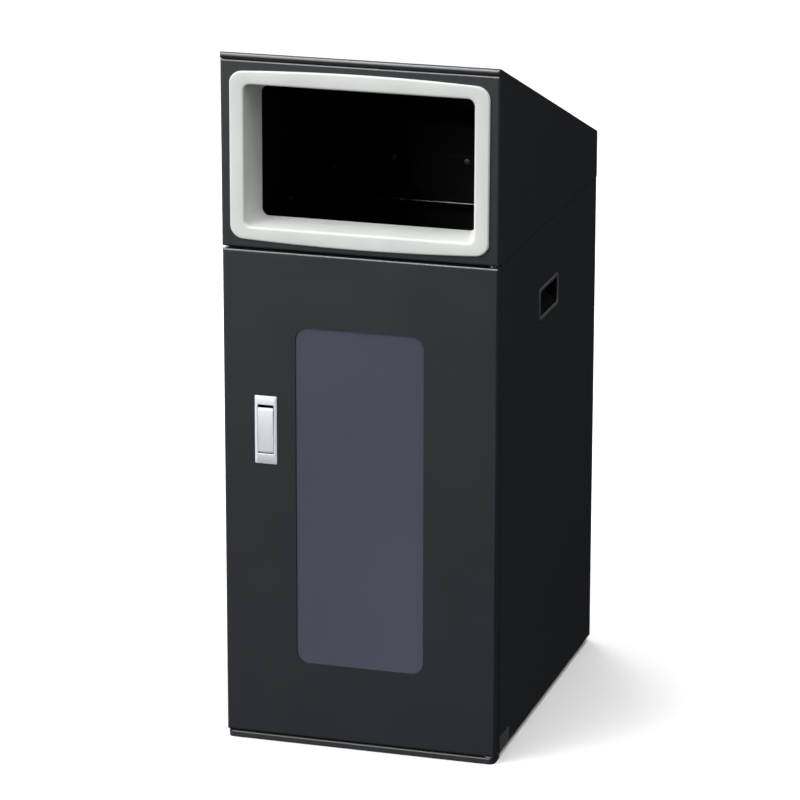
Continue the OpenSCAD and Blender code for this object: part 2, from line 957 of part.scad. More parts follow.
module latch_plate() {
    color("#cdd0d7")
        difference() {
            translate([-latch_x, front_y - plate_t, latch_z])
                upright(plate_t) round_rect(plate_w, plate_h, plate_r);
            latch_mouth(paddle_w + 2 * paddle_gap);
            latch_screw_places() towards_front(latch_screw_sunk, screw_r);
        }
}

// Cup behind the plate: it carries the paddle's pin and closes the finger space
module latch_housing() {
    wall = housing_wall;
    color("#1a1c1f")
        difference() {
            union() {
                translate([-latch_x - housing_w / 2, front_y, latch_z - housing_h / 2])
                    cube([housing_w, housing_d, housing_h]);
                latch_screw_places() translate([-housing_w / 2, sheet, -latch_ear_h / 2])
                    cube([housing_w, latch_ear_t, latch_ear_h]);
            }
            translate([-latch_x - housing_w / 2 + wall, front_y - cut, latch_z - housing_h / 2 + wall])
                cube([housing_w - 2 * wall, housing_d - wall + cut, housing_h - 2 * wall]);
            at_paddle_pin() rod_along_x(housing_w + 2 * cut, paddle_pin_r);
            latch_screw_places() translate([0, sheet + latch_ear_t + cut, 0])
                towards_front(latch_ear_t + 2 * cut, screw_r);
        }
}

module latch_screws() {
    color("#8c9096")
        latch_screw_places() translate([0, sheet + latch_ear_t, 0]) {
            towards_front(latch_screw_sunk + sheet + latch_ear_t, screw_r);
            translate([0, screw_head_h, 0]) towards_front(screw_head_h, screw_head_r);
        }
}

module paddle_pin() {
    color("#a7abb0") at_paddle_pin() rod_along_x(housing_w, paddle_pin_r);
}

// Envelope of the coil round the pin in the knuckle's gap, with a leg up and a leg to the back
module paddle_spring() {
    leg_back = front_y + housing_d - housing_wall - paddle_pin_y;
    wire = 2 * spring_wire;
    color("#a7abb0")
        at_paddle_pin()
            difference() {
                union() {
                    rod_along_x(spring_w, spring_r);
                    translate([-spring_w / 2, spring_r - wire, 0]) cube([wire, wire, spring_leg_l]);
                    translate([spring_w / 2 - wire, 0, -spring_wire]) cube([wire, leg_back, wire]);
                }
                rod_along_x(spring_w + 2 * cut, paddle_pin_r + screw_play);
            }
}

// Steel plate on the door's upper lip that the magnet holds
module strike_plate() {
    color("#a7abb0")
        translate([catch_x - strike_w / 2, door_back, catch_z - strike_h / 2])
            cube([strike_w, strike_t, strike_h]);
}

module door_buffers() {
    color("#101112")
        for (z = buffer_zs)
            translate([-door_w / 2 + fold_r + buffer_r, door_back, z]) rotate([-90, 0, 0])
                cylinder(h = door_clear - buffer_gap, r1 = buffer_r, r2 = buffer_r - buffer_draft);
}

// Pull paddle: a knuckle on the pin at the foot, rising slightly proud to the top
module latch_paddle() {
    rise = paddle_top - paddle_pin_z;
    color("#cdd0d7")
        at_paddle_pin()
            difference() {
                translate([-paddle_w / 2, 0, 0]) along_x(paddle_w) {
                    circle(knuckle_r);
                    polygon([
                        [-knuckle_r, 0],
                        [-knuckle_r + paddle_t + paddle_foot, 0],
                        [-knuckle_r + paddle_t - paddle_lift, rise],
                        [-knuckle_r - paddle_lift, rise]
                    ]);
                }
                rod_along_x(paddle_w + 2 * cut, paddle_pin_r + run_fit);
                translate([-spring_gap / 2, -spring_slot, -spring_slot_h])
                    cube([spring_gap, 2 * knuckle_r, 2 * spring_slot_h]);
                translate([-spring_gap / 2, -knuckle_r + paddle_t, -knuckle_r - cut])
                    cube([spring_gap, 2 * knuckle_r, 2 * (knuckle_r + cut)]);
            }
}

module ring_bend() {
    rotate_extrude(angle = 90) translate([ring_corner, 0]) circle(ring_rod_r);
}

// Bent rod, closed into a rectangle with round corners
module bag_ring() {
    x = ring_w / 2;
    y0 = ring_front;
    y1 = ring_y;
    c = ring_corner;
    color("#3a3d42")
        translate([0, 0, ring_z]) {
            for (y = [y0, y1]) translate([0, y, 0]) rod_along_x(2 * (x - c), ring_rod_r);
            for (s = [0, 1]) mirror([s, 0, 0]) {
                translate([x, y1 - c, 0]) towards_front(y1 - y0 - 2 * c, ring_rod_r);
                translate([x - c, y1 - c, 0]) ring_bend();
                translate([x - c, y0 + c, 0]) rotate(-90) ring_bend();
            }
        }
}

side_panel_left();
side_panel_right();
back_panel();
base_pan();
front_header();
cabinet_rails();
kick_rail();
kick_rail_screws();
rear_glides();
glide_screws();
hinge_bracket();
bracket_rivets();
hinge_pins();
hinge_washer();
magnet_catch();
hand_grip_left();
hand_grip_right();
ring_brackets();
ring_rests();
blank_label();
hood_front_panel();
hood_side_left();
hood_side_right();
hood_roof();
hood_back();
hood_rails();
hood_bolts();
hood_nuts();
back_rivets();
opening_collar();
collar_retainer();
collar_screws();
door_panel();
door_back_frame();
window_pane();
pane_frame();
pane_screws();
door_bushes();
latch_plate();
latch_housing();
latch_screws();
paddle_pin();
paddle_spring();
strike_plate();
door_buffers();
latch_paddle();
bag_ring();
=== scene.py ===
"""Looks of an indoor waste cabinet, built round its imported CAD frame. Metres, with +Z up."""

import json
import math

import bmesh
import bpy
from mathutils import Matrix, Vector

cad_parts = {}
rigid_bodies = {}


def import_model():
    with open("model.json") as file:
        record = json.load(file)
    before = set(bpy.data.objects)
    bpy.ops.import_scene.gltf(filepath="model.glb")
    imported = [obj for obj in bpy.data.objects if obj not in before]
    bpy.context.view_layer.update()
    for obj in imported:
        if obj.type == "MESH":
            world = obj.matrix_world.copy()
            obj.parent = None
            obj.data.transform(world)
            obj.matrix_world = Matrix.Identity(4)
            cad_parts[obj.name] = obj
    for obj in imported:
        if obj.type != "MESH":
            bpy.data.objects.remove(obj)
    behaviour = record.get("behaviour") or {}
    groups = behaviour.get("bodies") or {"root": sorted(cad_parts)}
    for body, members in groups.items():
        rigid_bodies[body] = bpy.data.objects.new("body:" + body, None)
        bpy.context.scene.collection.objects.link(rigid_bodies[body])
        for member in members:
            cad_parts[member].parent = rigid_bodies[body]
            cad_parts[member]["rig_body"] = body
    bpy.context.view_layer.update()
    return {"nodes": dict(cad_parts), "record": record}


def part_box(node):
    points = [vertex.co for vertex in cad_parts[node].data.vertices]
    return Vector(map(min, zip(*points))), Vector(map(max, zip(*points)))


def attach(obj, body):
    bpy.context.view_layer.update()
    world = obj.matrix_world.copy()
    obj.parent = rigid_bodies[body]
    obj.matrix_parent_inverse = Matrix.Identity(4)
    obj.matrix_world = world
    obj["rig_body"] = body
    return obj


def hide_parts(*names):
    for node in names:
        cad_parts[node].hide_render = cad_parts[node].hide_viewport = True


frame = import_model()
record = frame["record"]
scene = bpy.context.scene
MM = 0.001
SHARP = math.radians(35)
X, Y, Z = Vector((1, 0, 0)), Vector((0, 1, 0)), Vector((0, 0, 1))


# ---------------------------------------------------------------- camera

CAMERA_AT = Vector((1.468, -4.955, 1.934))
CAMERA_AZIMUTH = math.radians(16.71)
CAMERA_PITCH = math.radians(16.64)
CAMERA_ROLL = math.radians(0.07)
CAMERA_LENS = 190.1


def make_camera():
    camera = bpy.data.objects.new("camera", bpy.data.cameras.new("camera"))
    scene.collection.objects.link(camera)
    turn = Matrix.Rotation(CAMERA_AZIMUTH, 4, "Z")
    turn = turn @ Matrix.Rotation(math.pi / 2 - CAMERA_PITCH, 4, "X")
    turn = turn @ Matrix.Rotation(CAMERA_ROLL, 4, "Z")
    camera.matrix_world = Matrix.Translation(CAMERA_AT) @ turn
    camera.data.sensor_width = 36
    camera.data.lens = CAMERA_LENS
    camera.data.clip_end = 100
    scene.camera = camera


# ---------------------------------------------------------------- materials


class Nodes:
    """A material's node tree, with a Principled shader ready in it."""

    def __init__(self, name):
        self.material = bpy.data.materials.new(name)
        self.material.use_nodes = True
        self.tree = self.material.node_tree
        self.tree.nodes.clear()
        self.shader = self.tree.nodes.new("ShaderNodeBsdfPrincipled")
        output = self.tree.nodes.new("ShaderNodeOutputMaterial")
        self.link(self.shader.outputs["BSDF"], output.inputs["Surface"])
        self.place = self.tree.nodes.new("ShaderNodeTexCoord").outputs["Object"]
        self.height = None

    def link(self, a, b):
        self.tree.links.new(a, b)

    def set(self, **values):
        for key, value in values.items():
            self.shader.inputs[key.replace("_", " ")].default_value = value

    def noise(self, size, detail=3.0, stretch=(1, 1, 1)):
        """Noise whose features are about size metres across, drawn out along an axis by stretch."""
        mapping = self.tree.nodes.new("ShaderNodeMapping")
        mapping.inputs["Scale"].default_value = [1 / (size * s) for s in stretch]
        self.link(self.place, mapping.inputs["Vector"])
        texture = self.tree.nodes.new("ShaderNodeTexNoise")
        texture.inputs["Scale"].default_value = 1
        texture.inputs["Detail"].default_value = detail
        self.link(mapping.outputs["Vector"], texture.inputs["Vector"])
        return texture.outputs["Fac"]

    def cells(self, size):
        """Distance to the nearest of scattered points that lie about size metres apart."""
        texture = self.tree.nodes.new("ShaderNodeTexVoronoi")
        texture.inputs["Scale"].default_value = 1 / size
        self.link(self.place, texture.inputs["Vector"])
        return texture.outputs["Distance"]

    def spread(self, source, low, high, start=0.3, end=0.7):
        """source between start and end turned into a number between low and high."""
        node = self.tree.nodes.new("ShaderNodeMapRange")
        keys = ("From Min", "From Max", "To Min", "To Max")
        for key, value in zip(keys, (start, end, low, high)):
            node.inputs[key].default_value = value
        self.link(source, node.inputs["Value"])
        return node.outputs["Result"]

    def tint(self, source, dark, light):
        """Colour that runs from dark to light with source."""
        node = self.tree.nodes.new("ShaderNodeMix")
        node.data_type = "RGBA"
        colour_a, colour_b = node.inputs[6], node.inputs[7]
        colour_out = node.outputs[2]
        self.link(self.spread(source, 0, 1), node.inputs["Factor"])
        colour_a.default_value = (*dark, 1)
        colour_b.default_value = (*light, 1)
        self.link(colour_out, self.shader.inputs["Base Color"])

    def rough(self, source, low, high):
        self.link(self.spread(source, low, high), self.shader.inputs["Roughness"])

    def bump(self, source, depth):
        """Adds relief of about depth metres, on top of what is there."""
        node = self.tree.nodes.new("ShaderNodeBump")
        node.inputs["Distance"].default_value = depth
        self.link(source, node.inputs["Height"])
        if self.height:
            self.link(self.height, node.inputs["Normal"])
        self.height = node.outputs["Normal"]
        self.link(self.height, self.shader.inputs["Normal"])


def shade(colour, factor):
    return [min(1.0, c * factor) for c in colour]


def painted(name, colour, low, high, gloss, grain=0.0011, relief=0.00005):
    """Baked paint: a fine orange peel, broad changes of sheen, and a faint change of tone."""
    m = Nodes(name)
    m.tint(m.noise(0.16, 2), shade(colour, 0.97), shade(colour, 1.03))
    m.rough(m.noise(0.05, 4), low, high)
    m.bump(m.noise(grain, 2), relief)
    m.bump(m.noise(0.02, 2), relief)
    m.set(Specular_IOR_Level=gloss)
    return m.material


def moulded(name, colour, low, high, grain, relief, gloss=0.4):
    """Moulded plastic: a spark-eroded grain and slow changes of tone and sheen."""
    m = Nodes(name)
    m.tint(m.noise(0.07, 3), shade(colour, 0.95), shade(colour, 1.05))
    m.rough(m.noise(0.03, 3), low, high)
    m.bump(m.cells(grain), relief)
    m.set(Specular_IOR_Level=gloss)
    return m.material


def metal(name, colour, low, high, draw, relief=0.00001, metallic=1.0):
    """Bare or plated metal with fine marks drawn out along the axis that draw stretches."""
    m = Nodes(name)
    m.tint(m.noise(0.0006, 3, draw), shade(colour, 0.94), shade(colour, 1.04))
    m.rough(m.noise(0.0009, 3, draw), low, high)
    m.bump(m.noise(0.0004, 2, draw), relief)
    m.set(Metallic=metallic)
    return m.material


def smoked_sheet():
    """Smoked plastic sheet: a milky tint that passes some light, with a calendered surface."""
    m = Nodes("smoked_pane")
    m.tint(m.noise(0.3, 2), (0.084, 0.088, 0.124), (0.096, 0.100, 0.140))
    m.rough(m.noise(0.08, 3), 0.16, 0.22)
    m.bump(m.noise(0.02, 2), 0.00002)
    m.set(Alpha=0.9, IOR=1.49, Specular_IOR_Level=0.35)
    return m.material


def rubber():
    m = Nodes("rubber")
    m.tint(m.noise(0.004, 3), (0.013, 0.013, 0.014), (0.022, 0.022, 0.023))
    m.rough(m.noise(0.006, 3), 0.7, 0.85)
    m.bump(m.cells(0.0005), 0.00005)
    return m.material


def pale_floor():
    m = Nodes("floor")
    m.tint(m.noise(0.8, 3), (0.83, 0.83, 0.83), (0.85, 0.85, 0.85))
    m.rough(m.noise(0.1, 3), 0.75, 0.9)
    m.bump(m.noise(0.003, 2), 0.00005)
    return m.material


MATERIALS = {
    "body_paint": painted("body_paint", (0.0218, 0.0242, 0.0300), 0.35, 0.38, 0.5),
    "inner_steel": painted("inner_steel", (0.012, 0.0125, 0.014), 0.38, 0.5, 0.4),
    "rail_plastic": moulded("rail_plastic", (0.03, 0.033, 0.038), 0.35, 0.45, 0.0008, 0.00003),
    "black_plastic": moulded("black_plastic", (0.014, 0.015, 0.017), 0.4, 0.52, 0.0007, 0.00005),
    "grip_plastic": moulded("grip_plastic", (0.075, 0.079, 0.085), 0.3, 0.4, 0.0007, 0.00003),
    # near-black copy of the grip plastic: painted shade for the inside of the pocket
    "grip_pocket_painted_shade": moulded("grip_pocket_painted_shade", (0.004, 0.0043, 0.0047), 0.55, 0.65, 0.0007, 0.00005, 0.1),
    "plated_steel": metal("plated_steel", (0.52, 0.53, 0.55), 0.25, 0.42, (1, 1, 4)),
    "nylon": moulded("nylon", (0.27, 0.27, 0.25), 0.4, 0.5, 0.0009, 0.00002),
    "rubber": rubber(),
    "label_film": moulded("label_film", (0.07, 0.072, 0.076), 0.4, 0.55, 0.0011, 0.00002),
    "collar_plastic": moulded("collar_plastic", (0.72, 0.745, 0.71), 0.5, 0.6, 0.0012, 0.00003, 0.12),
    "smoked_pane": smoked_sheet(),
    "silver_metal": metal("silver_metal", (0.74, 0.76, 0.80), 0.45, 0.55, (1, 1, 8), metallic=0.05),
    "ring_rod": painted("ring_rod", (0.02, 0.021, 0.022), 0.13, 0.19, 0.8, 0.0006, 0.00003),
}
SLOTS = {s["node"]: s["material_slot"] for s in record["subparts"]}


# ---------------------------------------------------------------- mesh tools

MERGE = 1e-7
CAD_MERGE = 1e-6
POINT_R = 1e-6  # a turned end that comes to a point keeps a ring this small


def piece(name, mesh_maker, node):
    """A new piece that stands for a CAD node: it rides on the node's body and has its material."""
    bm = bmesh.new()
    mesh_maker(bm)
    bmesh.ops.remove_doubles(bm, verts=bm.verts, dist=MERGE)
    bmesh.ops.recalc_face_normals(bm, faces=bm.faces)
    mesh = bpy.data.meshes.new(name)
    bm.to_mesh(mesh)
    bm.free()
    return finished(bpy.data.objects.new(name, mesh), node)


def finished(obj, node):
    """Puts a new object in a CAD node's place: smooth shading, material, body and slot."""
    scene.collection.objects.link(obj)
    obj.data.shade_smooth()
    obj.data.set_sharp_from_angle(angle=SHARP)
    obj.data.materials.append(MATERIALS[SLOTS[node]])
    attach(obj, frame["nodes"][node]["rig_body"])
    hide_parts(node)
    return obj


def loose(mesh_maker):
    """A working object that is never shown, such as a cutter."""
    bm = bmesh.new()
    mesh_maker(bm)
    bmesh.ops.recalc_face_normals(bm, faces=bm.faces)
    mesh = bpy.data.meshes.new("work")
    bm.to_mesh(mesh)
    bm.free()
    obj = bpy.data.objects.new("work", mesh)
    scene.collection.objects.link(obj)
    return obj


def cut(obj, cutter):
    """The mesh of obj with cutter taken out of it. Both working objects are used up."""
    modifier = obj.modifiers.new("cut", "BOOLEAN")
    modifier.operation = "DIFFERENCE"
    modifier.solver = "EXACT"
    modifier.object = cutter
    bpy.context.view_layer.update()
    shown = obj.evaluated_get(bpy.context.evaluated_depsgraph_get())
    mesh = bpy.data.meshes.new_from_object(shown)
    bpy.data.objects.remove(obj)
    bpy.data.objects.remove(cutter)
    return mesh


def rounded_loop(width, height, radius, bow=0.0, across=12, corner=6):
    """Points (x, z) of a rectangle with round corners, with its top and bottom bowed outwards.

    Half the outline is worked out, and the other half is the same turned by half a turn."""
    run = width / 2 - radius
    rise = height / 2 - radius
    points = []
    for side in (1, -1):
        for i in range(across + 1):
            x = -run + 2 * run * i / across
            z = height / 2 + bow * (1 - (x / run) ** 2)
            points.append((side * x, side * z))
        for i in range(1, corner + 1):
            a = math.pi / 2 * (1 - i / corner)
            points.append((side * (run + radius * math.cos(a)), side * (rise + radius * math.sin(a))))
        for i in range(1, corner):
            a = -math.pi / 2 * i / corner
            points.append((side * (run + radius * math.cos(a)), side * (-rise + radius * math.sin(a))))
    return points


def add_loft(bm, loops, closed):
    """Skin over loops of 3D points, joined end to end if closed and capped if not."""
    rings = [[bm.verts.new(p) for p in loop] for loop in loops]
    count = len(rings[0])
    pairs = list(zip(rings, rings[1:]))
    if closed:
        pairs.append((rings[-1], rings[0]))
    for a, b in pairs:
        for i in range(count):
            j = (i + 1) % count
            bm.faces.new((a[i], a[j], b[j], b[i]))
    if not closed:
        bm.faces.new(rings[0])
        bm.faces.new(rings[-1])


def add_lathe(bm, profile, origin, axis, sides=32, closed=False):
    """Turned shape from (along the axis, radius) pairs: from end to end, or closed round a bore."""
    turn = Z.rotation_difference(axis).to_matrix()
    loops = []
    for along, radius in profile:
        reach = max(radius, POINT_R)
        ring = []
        for i in range(sides):
            a = 2 * math.pi * i / sides
            ring.append(Vector(origin) + turn @ Vector((reach * math.cos(a), reach * math.sin(a), along)))
        loops.append(ring)
    add_loft(bm, loops, closed)


def add_block(bm, low, high, bevel=0.0, segments=3):
    """Box between two corners, with its edges rounded."""
    size = Vector(high) - Vector(low)
    middle = (Vector(high) + Vector(low)) / 2
    place = Matrix.Translation(middle) @ Matrix.Diagonal((*size, 1))
    made = bmesh.ops.create_cube(bm, size=1, matrix=place)
    if bevel:
        edges = {e for v in made["verts"] for e in v.link_edges}
        bmesh.ops.bevel(bm, geom=list(edges), offset=bevel, segments=segments, profile=0.5, affect="EDGES")


def add_tube(bm, points, radius, sides=10):
    """Round wire along points, with flat ends."""
    loops = []
    side = None
    for i, p in enumerate(points):
        ahead = points[min(i + 1, len(points) - 1)] - points[max(i - 1, 0)]
        ahead.normalize()
        side = (side or ahead.orthogonal()).normalized()
        side = (side - ahead * side.dot(ahead)).normalized()
        up = ahead.cross(side)
        ring = []
        for k in range(sides):
            a = 2 * math.pi * k / sides
            ring.append(p + radius * (math.cos(a) * side + math.sin(a) * up))
        loops.append(ring)
    add_loft(bm, loops, closed=False)


def quarter(start, end, steps=5):
    """Quarter of an ellipse from start to end, both (in, depth), that leaves start along depth."""
    made = []
    for i in range(steps + 1):
        a = math.pi / 2 * i / steps
        across = end[0] + (start[0] - end[0]) * math.cos(a)
        depth = start[1] + (end[1] - start[1]) * math.sin(a)
        made.append((across, depth))
    return made


def islands(node):
    """Boxes (low, high) of a CAD node's separate solids."""
    bm = bmesh.new()
    bm.from_mesh(frame["nodes"][node].data)
    bmesh.ops.remove_doubles(bm, verts=bm.verts, dist=CAD_MERGE)
    seen = set()
    boxes = []
    for start in bm.verts:
        if start in seen:
            continue
        group = [start]
        seen.add(start)
        for v in group:
            for e in v.link_edges:
                other = e.other_vert(v)
                if other not in seen:
                    seen.add(other)
                    group.append(other)
        boxes.append((Vector([min(v.co[k] for v in group) for k in range(3)]),
                      Vector([max(v.co[k] for v in group) for k in range(3)])))
    bm.free()
    return sorted(boxes, key=lambda b: (b[0].x, b[0].y, b[0].z))


# ---------------------------------------------------------------- hood

COLLAR_BOW = 3.8 * MM
COLLAR_RADIUS = 17 * MM
COLLAR_WALL = 2.5 * MM
THROAT_W = 288 * MM
THROAT_H = 175 * MM
THROAT_RADIUS = 9 * MM
THROAT_TAPER_W = 16 * MM
THROAT_TAPER_H = 13 * MM
THROAT_DROP = 2.5 * MM
COLLAR_EDGE = 2.4 * MM
COLLAR_LIP = 3.2 * MM
COLLAR_CROWN = 0.15 * MM


def collar(bm):
    """Collar as one closed skin: flange edge, face, rolled lip, throat, rear edge, outer wall."""
    low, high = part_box("opening_collar")
    face_y = low.y
    hood_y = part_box("hood_front_panel")[0].y
    end_y = high.y
    middle = (low + high) / 2
    outer_w = high.x - low.x
    outer_h = high.z - low.z - 2 * COLLAR_BOW
    mouth_w = THROAT_W + THROAT_TAPER_W * (hood_y - face_y) / (end_y - hood_y)
    mouth_h = THROAT_H + THROAT_TAPER_H * (hood_y - face_y) / (end_y - hood_y)
    edge = (outer_w - mouth_w) / 2

    def flange(inset, y):
        """Loop on the flange, from its outer edge at 0 towards the throat's mouth."""
        share = min(1.0, inset / edge)
        height = outer_h + (mouth_h - outer_h) * share
        radius = COLLAR_RADIUS + (THROAT_RADIUS - COLLAR_RADIUS) * share
        return at(rounded_loop(outer_w - 2 * inset, height, radius, COLLAR_BOW * (1 - share)), y)

    def throat(grow, y):
        """Loop round the tapered throat, grown by grow."""
        share = (y - hood_y) / (end_y - hood_y)
        width = THROAT_W - THROAT_TAPER_W * share + 2 * grow
        height = THROAT_H - THROAT_TAPER_H * share + 2 * grow
        return at(rounded_loop(width, height, THROAT_RADIUS + grow), y, -THROAT_DROP * share)

    def at(points, y, up=0.0):
        return [(middle.x + x, y, middle.z + up + z) for x, z in points]

    loops = [flange(0, hood_y)]
    for inset, y in quarter((0, face_y + COLLAR_EDGE), (COLLAR_EDGE, face_y)):
        loops.append(flange(inset, y))
    loops.append(flange(edge / 2, face_y + COLLAR_CROWN))
    for down, back in quarter((0, 0), (COLLAR_LIP, COLLAR_LIP)):
        loops.append(flange(edge - COLLAR_LIP + back, face_y + COLLAR_CROWN + down))
    rear = end_y - COLLAR_WALL / 2
    loops.append(throat(0, (face_y + rear) / 2))
    for k in range(7):
        a = math.pi * k / 6
        loops.append(throat(COLLAR_WALL / 2 * (1 - math.cos(a)), rear + COLLAR_WALL / 2 * math.sin(a)))
    loops.append(throat(COLLAR_WALL, hood_y))
    add_loft(bm, loops, closed=True)


def hex_bolt(bm, low, high):
    """Chamfered hexagon head and shank, for a bolt that stands up from its head."""
    head_r = (high.x - low.x) / 2
    head_h = 3 * MM
    shank_r = 2.5 * MM
    axis_at = Vector(((low.x + high.x) / 2, (low.y + high.y) / 2, low.z))
    add_hexagon(bm, axis_at, head_r, head_h)
    add_lathe(bm, threaded(head_h, high.z - low.z, shank_r), axis_at, Z)


def threaded(start, end, radius, pitch=0.8 * MM):
    """Profile of a shank with a rolled thread, as rings one pitch apart."""
    tip_r, root_r = radius * 0.6, radius * 0.88
    count = int((end - start) / pitch)
    profile = [(start - 0.2 * MM, tip_r), (start, radius)]
    for i in range(count):
        at = start + pitch * i
        profile += [(at + pitch * 0.25, radius), (at + pitch * 0.6, root_r), (at + pitch * 0.95, radius)]
    profile += [(end - 0.01 * MM, radius * 0.9), (end, tip_r)]
    return sorted(profile)


def add_hexagon(bm, origin, radius, height, bore=0.0):
    """Hexagon with turned-down corners, and with a bore if it is a nut."""
    sides = 24
    chamfer = 0.35 * MM
    across = radius * math.cos(math.pi / 6)

    def ring(z, turned_r):
        """Loop at height z: the hexagon, cut down to the turned radius."""
        points = []
        for i in range(sides):
            a = 2 * math.pi * i / sides
            reach = min(turned_r, across / math.cos(a % (math.pi / 3) - math.pi / 6))
            points.append((origin.x + reach * math.cos(a), origin.y + reach * math.sin(a), origin.z + z))
        return points

    levels = [(0, across), (chamfer, radius), (height - chamfer, radius), (height, across)]
    if bore:
        levels += [(height, bore), (0, bore)]
    add_loft(bm, [ring(z, r) for z, r in levels], closed=bool(bore))


def hood_bolts(bm):
    for low, high in islands("hood_bolts"):
        hex_bolt(bm, low, high)


def hood_nuts(bm):
    bore = 2.55 * MM
    for low, high in islands("hood_nuts"):
        middle = (low + high) / 2
        foot = Vector((middle.x, middle.y, low.z))
        add_hexagon(bm, foot, (high.x - low.x) / 2, high.z - low.z, bore)


# ---------------------------------------------------------------- screws

SCREW_AXES = {
    "collar_screws": Y, "pane_screws": Y, "latch_screws": Y,
    "kick_rail_screws": -Z, "glide_screws": -Z,
}
HEAD_H = 1.8 * MM


def cross_screw(bm, foot, axis, length, head_r, shank_r):
    """Pan-head screw from its tip at foot to its head, with a cross recess in the head."""
    head = [(0, shank_r), (0, head_r), (0.3, head_r)]
    head += [(0.65, head_r * 0.95), (0.9, head_r * 0.8), (1, head_r * 0.6)]
    profile = [(0, shank_r * 0.6), (0.4 * MM, shank_r)]
    profile += [(length - HEAD_H + HEAD_H * z, r) for z, r in head]
    turn = Z.rotation_difference(axis).to_matrix()

    def recess(cutter):
        depth = HEAD_H * 0.55
        arm, half = head_r * 0.5, head_r * 0.12
        outline = [(arm, half), (half, half), (half, arm)]
        for _ in range(3):
            outline += [(-y, x) for x, y in outline[-3:]]
        loops = [[Vector(foot) + turn @ Vector((x, y, z)) for x, y in outline]
                 for z in (length - depth, length + depth)]
        add_loft(cutter, loops, closed=False)

    body = loose(lambda b: add_lathe(b, profile, foot, axis, 24))
    mesh = cut(body, loose(recess))
    bm.from_mesh(mesh)


def screws(node):
    """Maker of a node's screws. Each axis in SCREW_AXES points from the tip to the head."""
    axis = SCREW_AXES[node]

    def make(bm):
        for low, high in islands(node):
            middle = (low + high) / 2
            size = high - low
            along = abs(size.dot(axis))
            head_r = min(size[k] for k in range(3) if not axis[k]) / 2
            foot = middle - axis * along / 2
            cross_screw(bm, foot, axis, along, head_r, head_r * 0.53)
    return make


def domed_rivets(bm):
    """Back rivets: a flush shank end outside and a domed head inside."""
    for low, high in islands("back_rivets"):
        middle = (low + high) / 2
        radius = (high.x - low.x) / 2
        depth = high.y - low.y
        head = 1.4 * MM
        profile = [(0, radius / 2), (depth - head, radius / 2), (depth - head, radius)]
        profile += [(depth - head * (1 - math.sin(a)), radius * math.cos(a))
                    for a in (math.pi / 2 * k / 6 for k in range(1, 7))]
        add_lathe(bm, profile, (middle.x, high.y, middle.z), -Y, 24)


# ---------------------------------------------------------------- hinge

PIN_R = 3 * MM
RUN_FIT = 0.05 * MM


def hinge_pins(bm):
    """Ground pins with chamfered ends. The upper one has a head over its bracket."""
    head_h, chamfer = 0.8 * MM, 0.4 * MM
    for low, high in islands("hinge_pins"):
        middle = (low + high) / 2
        head_r = (high.x - low.x) / 2
        length = high.z - low.z
        profile = [(0, PIN_R - chamfer), (chamfer, PIN_R)]
        if head_r > PIN_R + chamfer:
            profile += [(length - head_h, PIN_R), (length - head_h, head_r)]
        profile += [(length - chamfer, head_r), (length, head_r - chamfer)]
        add_lathe(bm, profile, (middle.x, middle.y, low.z), Z, 32)


def sleeves(node, chamfer):
    """Turned sleeves that run on the hinge pins, with chamfered rims."""
    bore = PIN_R + RUN_FIT

    def make(bm):
        for low, high in islands(node):
            middle = (low + high) / 2
            radius = (high.x - low.x) / 2
            height = high.z - low.z
            outside = [(0, radius - chamfer), (chamfer, radius)]
            outside += [(height - chamfer, radius), (height, radius - chamfer)]
            inside = [(height, bore + chamfer), (height - chamfer, bore)]
            inside += [(chamfer, bore), (0, bore + chamfer)]
            foot = (middle.x, middle.y, low.z)
            add_lathe(bm, outside + inside, foot, Z, 32, closed=True)
    return make


def bracket_rivets(bm):
    """Rivets with domed heads under the hinge bracket."""
    head_h, shank_r = 1 * MM, 2 * MM
    for low, high in islands("bracket_rivets"):
        middle = (low + high) / 2
        head_r = (high.x - low.x) / 2
        profile = [(head_h * (1 - math.cos(a)), head_r * math.sin(a))
                   for a in (math.pi / 2 * k / 6 for k in range(1, 7))]
        profile += [(head_h, shank_r), (high.z - low.z, shank_r)]
        add_lathe(bm, profile, (middle.x, middle.y, low.z), Z, 24)


# ---------------------------------------------------------------- latch


def paddle_pin():
    """Middle of the pin that the paddle turns on."""
    low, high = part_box("paddle_pin")
    return (low + high) / 2


def paddle_rod(bm):
    """Ground rod with chamfered ends."""
    low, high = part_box("paddle_pin")
    middle = (low + high) / 2
    radius = (high.z - low.z) / 2
    length = high.x - low.x
    chamfer = 0.3 * MM
    profile = [(0, radius - chamfer), (chamfer, radius)]
    profile += [(length - chamfer, radius), (length, radius - chamfer)]
    add_lathe(bm, profile, (low.x, middle.y, middle.z), X, 24)


